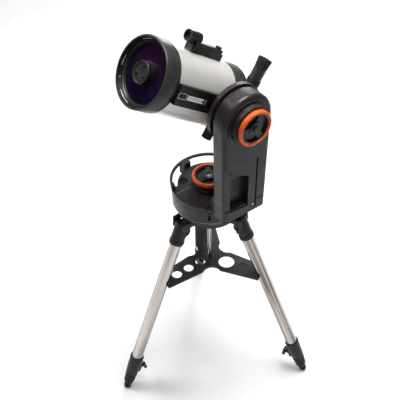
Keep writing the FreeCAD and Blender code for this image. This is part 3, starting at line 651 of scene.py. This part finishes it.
def make_eyepiece():
    """Grips and slots of the eyepiece, and the clamp screws of the diagonal."""
    middle, radius, _, high = span_of("eyepiece", TUBE)
    centre = Matrix.Translation((middle.x * MM, 0, middle.z * MM))
    eye = TUBE @ centre @ Matrix.Rotation(math.radians(-90), 4, "X")
    _, cup_radius, cup_low, cup_high = span_of("eyecup", TUBE)
    mesh = bmesh.new()
    ribs(mesh, radius, high.y - 48, 2.6, 6)
    finish_piece(mesh, "eyepiece_grip", eye, "rubber", "ocular")
    mesh = bmesh.new()
    ribs(mesh, cup_radius * 0.83, cup_low.y + 4, 2.4, 4, 1.0, 0.5)
    finish_piece(mesh, "eyecup_ribs", eye, "rubber", "ocular")
    mesh = bmesh.new()
    cup_length = cup_high.y - cup_low.y
    slope = math.degrees(math.atan2(cup_radius * 0.14, cup_length))
    for angle in (70, 190, 310):
        turn = Matrix.Rotation(math.radians(angle), 4, "Z")
        place = at(cup_radius * 0.93 - 0.1, 0, cup_low.y + cup_length / 2, "Y", 90 + slope)
        band(mesh, rounded(23, 7.5, 3.4), rounded(21.2, 5.7, 2.6), 0, 0.5, turn @ place)
    finish_piece(mesh, "eyepiece_slots", eye, "edge_light", "ocular")
    _, body_radius, _, body_high = span_of("diagonal", TUBE)
    mesh = bmesh.new()
    for angle in (155, 275):
        turn = Matrix.Rotation(math.radians(angle), 4, "Z")
        place = turn @ at(body_radius * 0.72, 0, body_high.y - 7, "Y", 90)
        slab(mesh, lobed(4.6, 0.7, 10, 4), 3, 9, place)
        slab(mesh, lobed(1.8, 0.0, 3, 8), 0, 3.2, place)
    finish_piece(mesh, "diagonal_screws", eye, "plastic_black", "star_diagonal",
                 0.0003)


def make_back_details():
    """Knurl on the visual back, grip on the focus knob and screws in the rear cell."""
    middle, radius, _, _ = span_of("visual_back", TUBE)
    mesh = bmesh.new()
    slab(mesh, lobed(radius + 0.7, 0.8, 36, 4), middle.z - 4, middle.z + 3)
    finish_piece(mesh, "visual_back_knurl", TUBE, "cell_black", "optical_tube",
                 0.0002)
    middle, radius, low, _ = span_of("focus_knob", TUBE)
    mesh = bmesh.new()
    slab(mesh, lobed(radius + 0.6, 0.8, 24, 4), low.z + 1.5, low.z + 13, at(middle.x, middle.y))
    finish_piece(mesh, "focus_grip", TUBE, "rubber", "focuser", 0.0002)
    low = span_of("rear_cell", TUBE)[2]
    mesh = bmesh.new()
    for index in range(6):
        turn = Matrix.Rotation(math.radians(60 * index + 30), 4, "Z")
        screw_head(mesh, turn @ at(42, 0, low.z - 0.1, "X", 180), 2.2, 1.0)
    finish_piece(mesh, "rear_cell_screws", TUBE, "dark_steel", "optical_tube")


def make_saddle_grip():
    """Two lobed grips on the knob under the saddle."""
    down = TUBE @ Matrix.Rotation(math.radians(90), 4, "X")
    middle, radius, low, high = span_of("saddle_knob", down)
    grip = min(radius, (high.y - low.y) / 2)
    mesh = bmesh.new()
    for start, end in ((high.z - 13, high.z - 1), (high.z - 30, high.z - 18)):
        slab(mesh, lobed(grip + 0.5, 1.6, 9, 6), start, end, at(middle.x, middle.y))
    finish_piece(mesh, "saddle_grip", down, "plastic_black", "saddle_screw",
                 0.0005)


def make_finder_details():
    """Front ring and grip ribs of the finder's tube, and screws along its bracket."""
    high = span_of("finder_body", TUBE)[3]
    _, _, bracket_low, bracket_high = span_of("finder_bracket", TUBE)
    lens_middle = span_of("finder_lens", TUBE)[0]
    front = TUBE @ at(lens_middle.x, lens_middle.y, 0)
    tube, ring, bore = 14.4, 15.0, 12.0
    mesh = bmesh.new()
    lathe(mesh, [
        (tube, high.z - 3.5), (ring, high.z - 3.2), (ring, high.z - 0.4), (tube, high.z - 0.1),
        (bore + 0.4, high.z - 0.1), (bore, high.z - 1.2), (bore, high.z - 3.5)], 64)
    ribs(mesh, tube, high.z - 34, 3.0, 4, 1.4, 0.5)
    finish_piece(mesh, "finder_rings", front, "plastic_black", "finder")
    mesh = bmesh.new()
    side = bracket_high.x
    rail_height = bracket_low.y + 7
    for station in (40, 68, 96):
        screw_head(mesh, TUBE @ at(side - 0.2, rail_height, station, "Y", 90), 2.6, 1.2)
    finish_piece(mesh, "finder_screws", WORLD, "dark_steel", "optical_tube")


# ---------------------------------------------------------------- leg details
# radius, then height up the leg, in millimetres
BOOT_OUTLINE = (
    (10.6, 18), (11.6, 20), (17.9, 37), (19.6, 66), (20.6, 67.4), (20.6, 70.6),
    (17.6, 70.9), (17.6, 38.4), (9.4, 19))


def make_foot_boots():
    """Rubber boot from the ball of each foot up over the end of the inner leg."""
    for key in LEGS:
        mesh = bmesh.new()
        lathe(mesh, BOOT_OUTLINE, 64)
        finish_piece(mesh, "foot_boot_" + key, leg_frame(key), "rubber", "leg_extension_" + key)


# ---------------------------------------------------------------- base and arm details
DRUM_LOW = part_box("base_drum")[0]
DRUM_BOTTOM = DRUM_LOW.z / MM
DECK = DRUM_BOTTOM + 60
FULL_START, FULL_SWEEP = 243, 217  # the drum's round wall, in degrees
RECESS = (-52.8, -56)  # centre of the round recess in the deck
PORT_ANGLE = -36


def make_base_details():
    """Painted highlights along the drum's lower edge and a deck edge, ridges on the deck, a near-black pad as
    painted shade in the round recess, and the socket's cover.
    """
    mesh = bmesh.new()
    # painted highlights: thin pale metal strips along the drum's lower chamfer and along a deck edge stand in for
    # specular highlights
    lathe(mesh, [
        (110.6, DRUM_BOTTOM + 0.2), (111.3, DRUM_BOTTOM + 0.3),
        (111.6, DRUM_BOTTOM + 1.5), (110.6, DRUM_BOTTOM + 1.6)],
        120, FULL_START, FULL_SWEEP)
    slab(mesh, rounded(1.3, 50, 0.6), DECK - 0.2, DECK + 0.6, at(-19.2, -78))
    finish_piece(mesh, "base_painted_highlights", WORLD, "edge_light", "turntable")
    mesh = bmesh.new()
    lathe(mesh, [
        (99.5, DECK - 0.2), (99.8, DECK + 0.7), (101.0, DECK + 0.7), (101.3, DECK - 0.2)],
        120, FULL_START + 4, FULL_SWEEP - 8)
    lathe(mesh, [
        (110.4, DRUM_BOTTOM + 45), (112.9, DRUM_BOTTOM + 45.3),
        (112.9, DRUM_BOTTOM + 47.2), (110.4, DRUM_BOTTOM + 47.5)],
        120, FULL_START, FULL_SWEEP)
    finish_piece(mesh, "base_ridges", WORLD, "arm_plastic", "turntable")
    mesh = bmesh.new()
    # painted shade: a thin near-black disc at the bottom of the round recess darkens the hole
    lathe(mesh, [(0, DECK - 2.9), (13.4, DECK - 2.9), (13.4, DECK - 2.5), (0, DECK - 2.5)], 48,
          matrix=at(*RECESS))
    finish_piece(mesh, "deck_recess_painted_shade", WORLD, "cell_inner", "turntable")
    port = Matrix.Rotation(math.radians(PORT_ANGLE), 4, "Z")
    mesh = bmesh.new()
    slab(mesh, rounded(2, 7.4, 0.8), DRUM_BOTTOM + 14, DRUM_BOTTOM + 46, at(106, 0))
    finish_piece(mesh, "port_cover", port, "cell_inner", "turntable")
    mesh = bmesh.new()
    lathe(mesh, [(0, 0), (1.9, 0), (1.9, 1.2), (1.1, 1.9), (0, 1.9)], 20,
          matrix=at(107, 0, DRUM_BOTTOM + 33, "Y", 90))
    finish_piece(mesh, "port_pin", port, "gear_brass", "turntable")
    mesh = bmesh.new()
    band(mesh, rounded(13, 18, 1.5), rounded(10.6, 15.6, 1.0), DECK + 0.2, DECK + 1.4,
         at(103.5, 0))
    finish_piece(mesh, "port_rim", port, "arm_plastic", "turntable", 0.0003)


def make_arm_details():
    """Ribs and a shelf in the cradle, and a plain mark on the button."""
    mesh = bmesh.new()
    for index in range(9):
        slab(mesh, rounded(52, 1.0, 0.4), 0.0, 0.8,
             at(146, -21, 826 + 9 * index, "Y", 90) @ TURN_FLAT)
    finish_piece(mesh, "cradle_ribs", WORLD, "plastic_black", "turntable")
    mesh = bmesh.new()
    slab(mesh, rounded(18, 56, 3), 806.5, 811.0, at(156, -21))
    finish_piece(mesh, "cradle_shelf", WORLD, "arm_plastic", "turntable", 0.0006)
    low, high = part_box("power_button")
    middle = (low + high) / 2 / MM
    mesh = bmesh.new()
    symbol = at(high.x / MM - 0.05, middle.y, middle.z, "Y", 90)
    lathe(mesh, [(3.0, 0), (4.2, 0), (4.2, 0.35), (3.0, 0.35)], 32, 30, 300,
          symbol @ Matrix.Rotation(math.radians(150), 4, "Z"))
    finish_piece(mesh, "button_mark", WORLD, "print_white", "button")


# ---------------------------------------------------------------- camera, light and floor
CAMERA = {
    "location": (1.2489, -0.9160, 2.1811), "heading": 54.35, "pitch": 46.05, "roll": -0.77,
    "lens": 63.57, "shift": (-0.0105, 0.0723),
}


def make_camera():
    """Seen from above and to the right of where the tube points, from two and a half metres."""
    data = bpy.data.cameras.new("camera")
    data.sensor_width = 36.0
    data.lens = CAMERA["lens"]
    data.shift_x, data.shift_y = CAMERA["shift"]
    data.dof.use_dof = False
    camera = bpy.data.objects.new("camera", data)
    bpy.context.scene.collection.objects.link(camera)
    heading = Matrix.Rotation(math.radians(CAMERA["heading"]), 4, "Z")
    tilt = Matrix.Rotation(math.radians(90 - CAMERA["pitch"]), 4, "X")
    roll = Matrix.Rotation(math.radians(CAMERA["roll"]), 4, "Z")
    camera.matrix_world = Matrix.Translation(CAMERA["location"]) @ heading @ tilt @ roll
    bpy.context.scene.camera = camera


def area_light(name, location, target, size, power, colour=(1, 1, 1)):
    data = bpy.data.lights.new(name, "AREA")
    data.shape = "RECTANGLE"
    data.size, data.size_y = size
    data.energy = power
    data.color = colour
    light = bpy.data.objects.new(name, data)
    light.location = location
    aim = Vector(target) - Vector(location)
    light.rotation_euler = aim.to_track_quat("-Z", "Y").to_euler()
    bpy.context.scene.collection.objects.link(light)


def make_stage():
    """Pale floor, four soft lights and the tent round them."""
    mesh = bmesh.new()
    bmesh.ops.create_grid(mesh, x_segments=2, y_segments=2, size=14.0)
    data = bpy.data.meshes.new("floor")
    mesh.to_mesh(data)
    mesh.free()
    floor = bpy.data.objects.new("floor", data)
    bpy.context.scene.collection.objects.link(floor)
    graph = Graph("floor")
    paper = graph.ramp(graph.noise(3, 3), 0.02, 0.04)
    graph.link(graph.blend(graph.ramp(graph.noise(3, 3), 0.0, 1.0), (0.70, 0.70, 0.70),
                           (0.73, 0.73, 0.73)), graph.shader.inputs["Base Color"])
    graph.link(paper, graph.shader.inputs["Emission Strength"])
    graph.shader.inputs["Emission Color"].default_value = (1.0, 1.0, 1.0, 1.0)
    graph.set(Roughness=0.9)
    data.materials.append(graph.material)
    make_world()
    focus = (0, 0, 0.9)
    area_light("key", (-2.2, -1.6, 3.1), focus, (1.3, 1.3), 75)
    area_light("fill", (3.0, -1.6, 2.4), focus, (0.3, 2.6), 7)
    area_light("top", (0.0, 0.5, 3.6), focus, (1.8, 1.4), 150)
    area_light("rim", (-2.4, 2.4, 1.6), focus, (0.6, 2.2), 40)
    bpy.context.scene.view_settings.view_transform = "Standard"
    bpy.context.scene.view_settings.look = "None"


TENT_GAPS, TENT_TURN, TENT_STRENGTH = 4.0, 0.6, 0.34


def make_world():
    """A studio tent: bright overhead, darker round the horizon, with a few soft upright gaps."""
    world = bpy.data.worlds.new("studio")
    world.use_nodes = True
    tree = world.node_tree
    coords = tree.nodes.new("ShaderNodeTexCoord")
    split = tree.nodes.new("ShaderNodeSeparateXYZ")
    tree.links.new(coords.outputs["Generated"], split.inputs[0])
    around = tree.nodes.new("ShaderNodeMath")
    around.operation = "ARCTAN2"
    tree.links.new(split.outputs["Y"], around.inputs[0])
    tree.links.new(split.outputs["X"], around.inputs[1])
    swell = tree.nodes.new("ShaderNodeMath")
    swell.operation = "MULTIPLY_ADD"
    swell.inputs[1].default_value = TENT_GAPS
    swell.inputs[2].default_value = TENT_TURN
    tree.links.new(around.outputs[0], swell.inputs[0])
    wave = tree.nodes.new("ShaderNodeMath")
    wave.operation = "SINE"
    tree.links.new(swell.outputs[0], wave.inputs[0])
    strips = map_range(tree, wave.outputs[0], -0.2, 0.7, 0.05, 1.0)
    height = map_range(tree, split.outputs["Z"], 0.15, 0.75, 0.0, 1.0)
    mix = tree.nodes.new("ShaderNodeMix")
    mix.data_type = "FLOAT"
    mix.inputs[3].default_value = 1.0
    tree.links.new(height, mix.inputs[0])
    tree.links.new(strips, mix.inputs[2])
    scale = tree.nodes.new("ShaderNodeMath")
    scale.operation = "MULTIPLY"
    scale.inputs[1].default_value = TENT_STRENGTH
    tree.links.new(mix.outputs[0], scale.inputs[0])
    background = tree.nodes["Background"]
    tree.links.new(scale.outputs[0], background.inputs["Strength"])
    background.inputs["Color"].default_value = (1.0, 0.99, 0.98, 1.0)
    bpy.context.scene.world = world


def map_range(tree, source, from_low, from_high, low, high):
    node = tree.nodes.new("ShaderNodeMapRange")
    node.interpolation_type = "SMOOTHSTEP"
    node.inputs["From Min"].default_value = from_low
    node.inputs["From Max"].default_value = from_high
    node.inputs["To Min"].default_value = low
    node.inputs["To Max"].default_value = high
    tree.links.new(source, node.inputs["Value"])
    return node.outputs["Result"]


dress_nodes()
make_cell_ring()
make_bevel_marks()
make_secondary()
make_tube_trim()
make_bar_label()
make_eyepiece()
make_back_details()
make_saddle_grip()
make_finder_details()
make_foot_boots()
make_base_details()
make_arm_details()
make_camera()
make_stage()
